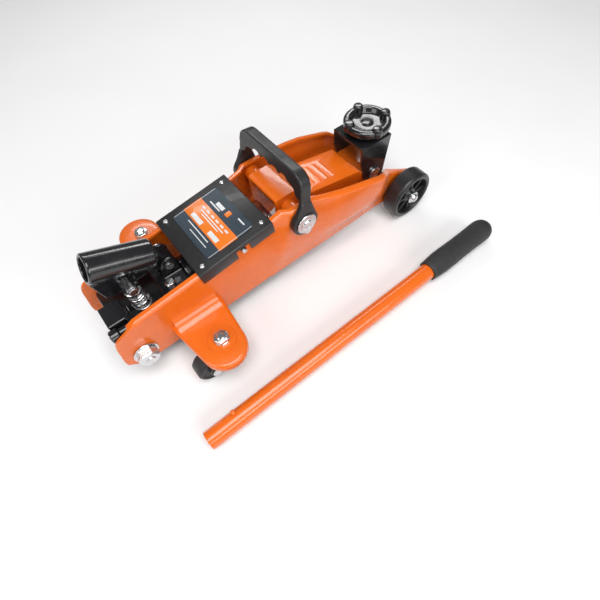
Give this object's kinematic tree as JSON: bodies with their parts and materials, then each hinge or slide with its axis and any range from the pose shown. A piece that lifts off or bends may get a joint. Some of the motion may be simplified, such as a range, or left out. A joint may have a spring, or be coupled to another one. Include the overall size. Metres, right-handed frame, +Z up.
{
  "type": "hydraulic trolley jack",
  "caption": "Low hydraulic trolley jack with lift arm, turning saddle, swivel casters, fold-down carry handle and a loose pump lever beside it.",
  "frame": {"origin": "centre of the footprint of the jack and its loose lever, at floor level", "axes": "+X towards the saddle and front wheels, +Y towards the jack's left side, +Z up"},
  "size_m": [0.4831, 0.3128, 0.1674],
  "materials": {
    "orange_paint": "gloss enamel",
    "gloss_black_paint": "gloss enamel",
    "satin_black_paint": "satin powder coat",
    "black_wheel": "satin black coated",
    "black_rubber": "matte",
    "zinc_plate": "bright zinc plate",
    "bright_steel": "ground bright",
    "label_film": "printed film"
  },
  "bodies": {
    "frame": {"side_plate_left": "orange_paint", "side_plate_right": "orange_paint", "front_axle": "zinc_plate", "axle_cap_left": "zinc_plate", "axle_cap_right": "zinc_plate", "rear_bolt_left": "zinc_plate", "rear_bolt_right": "zinc_plate", "arm_pivot_shaft": "orange_paint", "cover_plate": "satin_black_paint", "cover_label": "label_film", "cover_screw_1": "zinc_plate", "cover_screw_2": "zinc_plate", "cover_screw_3": "zinc_plate", "cover_screw_4": "zinc_plate", "cover_side_screw": "zinc_plate", "pump_block": "gloss_black_paint", "reservoir_tube": "gloss_black_paint", "cylinder_gland": "gloss_black_paint", "filler_plug": "zinc_plate", "plunger_gland": "zinc_plate", "socket_pin": "zinc_plate", "link_rear_pin_left": "zinc_plate", "link_rear_pin_right": "zinc_plate", "caster_race_left": "zinc_plate", "caster_race_right": "zinc_plate", "caster_nut_left": "zinc_plate", "caster_nut_right": "zinc_plate", "caster_kingpin_left": "zinc_plate", "caster_kingpin_right": "zinc_plate", "handle_bolt_left": "zinc_plate", "handle_bolt_right": "zinc_plate"},
    "arm": {"lift_arm": "orange_paint", "ram_pin": "bright_steel"},
    "ram": {"ram_rod": "bright_steel"},
    "bracket": {"saddle_bracket": "gloss_black_paint", "bracket_pin": "zinc_plate", "link_front_pin_left": "zinc_plate", "link_front_pin_right": "zinc_plate"},
    "saddle": {"saddle": "gloss_black_paint", "saddle_clip": "zinc_plate"},
    "links": {"radius_link_left": "gloss_black_paint", "radius_link_right": "gloss_black_paint"},
    "socket": {"handle_socket": "gloss_black_paint", "roller_pin": "zinc_plate"},
    "roller": {"pump_roller": "bright_steel"},
    "plunger": {"pump_plunger": "bright_steel", "plunger_spring": "bright_steel"},
    "valve": {"release_valve": "gloss_black_paint"},
    "carry": {"carry_handle": "satin_black_paint"},
    "lever": {"lever_tube": "orange_paint", "lever_grip": "black_rubber", "lever_button": "orange_paint"},
    "wheel_left": {"front_wheel_left": "black_wheel"},
    "swivel_left": {"caster_fork_left": "satin_black_paint", "caster_axle_left": "zinc_plate"},
    "caster_roll_left": {"caster_wheel_left": "black_wheel"},
    "wheel_right": {"front_wheel_right": "black_wheel"},
    "swivel_right": {"caster_fork_right": "satin_black_paint", "caster_axle_right": "zinc_plate"},
    "caster_roll_right": {"caster_wheel_right": "black_wheel"}
  },
  "joints": [
    {"name": "arm_lift", "type": "hinge", "parent": "frame", "child": "arm", "pos_m": [0.007, 0.02615, 0.106], "axis": [0, -1, 0], "range_deg": [0, 76]},
    {"name": "ram_slide", "type": "slide", "parent": "frame", "child": "ram", "axis": [1, 0, 0], "range_m": [0, 0.053]},
    {"name": "link_swing", "type": "hinge", "parent": "frame", "child": "links", "pos_m": [0.017, 0.02615, 0.076], "axis": [0, -1, 0], "range_deg": [0, 77]},
    {"name": "bracket_level", "type": "hinge", "parent": "arm", "child": "bracket", "pos_m": [0.1505, 0.02615, 0.07], "axis": [0, -1, 0], "range_deg": [-77, 0]},
    {"name": "saddle_turn", "type": "hinge", "parent": "bracket", "child": "saddle", "pos_m": [0.1565, 0.02615, 0.119], "axis": [0, 0, 1], "continuous": true},
    {"name": "socket_pump", "type": "hinge", "parent": "frame", "child": "socket", "pos_m": [-0.1425, 0.03815, 0.093], "axis": [0, 1, 0], "range_deg": [0, 32]},
    {"name": "roller_spin", "type": "hinge", "parent": "socket", "child": "roller", "pos_m": [-0.1895, 0.01815, 0.1073], "axis": [0, 1, 0], "continuous": true},
    {"name": "plunger_slide", "type": "slide", "parent": "frame", "child": "plunger", "axis": [0, 0, 1], "range_m": [0, 0.0215], "deforming": ["plunger_spring"]},
    {"name": "valve_turn", "type": "hinge", "parent": "frame", "child": "valve", "pos_m": [-0.2325, -0.00885, 0.081], "axis": [1, 0, 0], "range_deg": [0, 180]},
    {"name": "carry_fold", "type": "hinge", "parent": "frame", "child": "carry", "pos_m": [0.007, 0.02615, 0.106], "axis": [0, -1, 0], "range_deg": [0, 55]},
    {"name": "lever_lift_off", "type": "slide", "parent": "frame", "child": "lever", "axis": [0, 0, 1], "range_m": [0, 0.3]},
    {"name": "wheel_spin_left", "type": "hinge", "parent": "frame", "child": "wheel_left", "pos_m": [0.1875, 0.08795, 0.035], "axis": [0, 1, 0], "continuous": true},
    {"name": "caster_swivel_left", "type": "hinge", "parent": "frame", "child": "swivel_left", "pos_m": [-0.1426, 0.12245, 0.054], "axis": [0, 0, 1], "continuous": true},
    {"name": "caster_spin_left", "type": "hinge", "parent": "swivel_left", "child": "caster_roll_left", "pos_m": [-0.1656, 0.12245, 0.021], "axis": [0, 1, 0], "continuous": true},
    {"name": "wheel_spin_right", "type": "hinge", "parent": "frame", "child": "wheel_right", "pos_m": [0.1875, -0.03565, 0.035], "axis": [0, 1, 0], "continuous": true},
    {"name": "caster_swivel_right", "type": "hinge", "parent": "frame", "child": "swivel_right", "pos_m": [-0.1426, -0.07015, 0.054], "axis": [0, 0, 1], "continuous": true},
    {"name": "caster_spin_right", "type": "hinge", "parent": "swivel_right", "child": "caster_roll_right", "pos_m": [-0.1656, -0.07015, 0.021], "axis": [0, 1, 0], "continuous": true}
  ],
  "couplings": [
    {"joint": "ram_slide", "follows": "arm_lift", "m_per_rad": 0.0394},
    {"joint": "link_swing", "follows": "arm_lift", "ratio": 1},
    {"joint": "bracket_level", "follows": "arm_lift", "ratio": -1},
    {"joint": "plunger_slide", "follows": "socket_pump", "m_per_rad": 0.038}
  ]
}
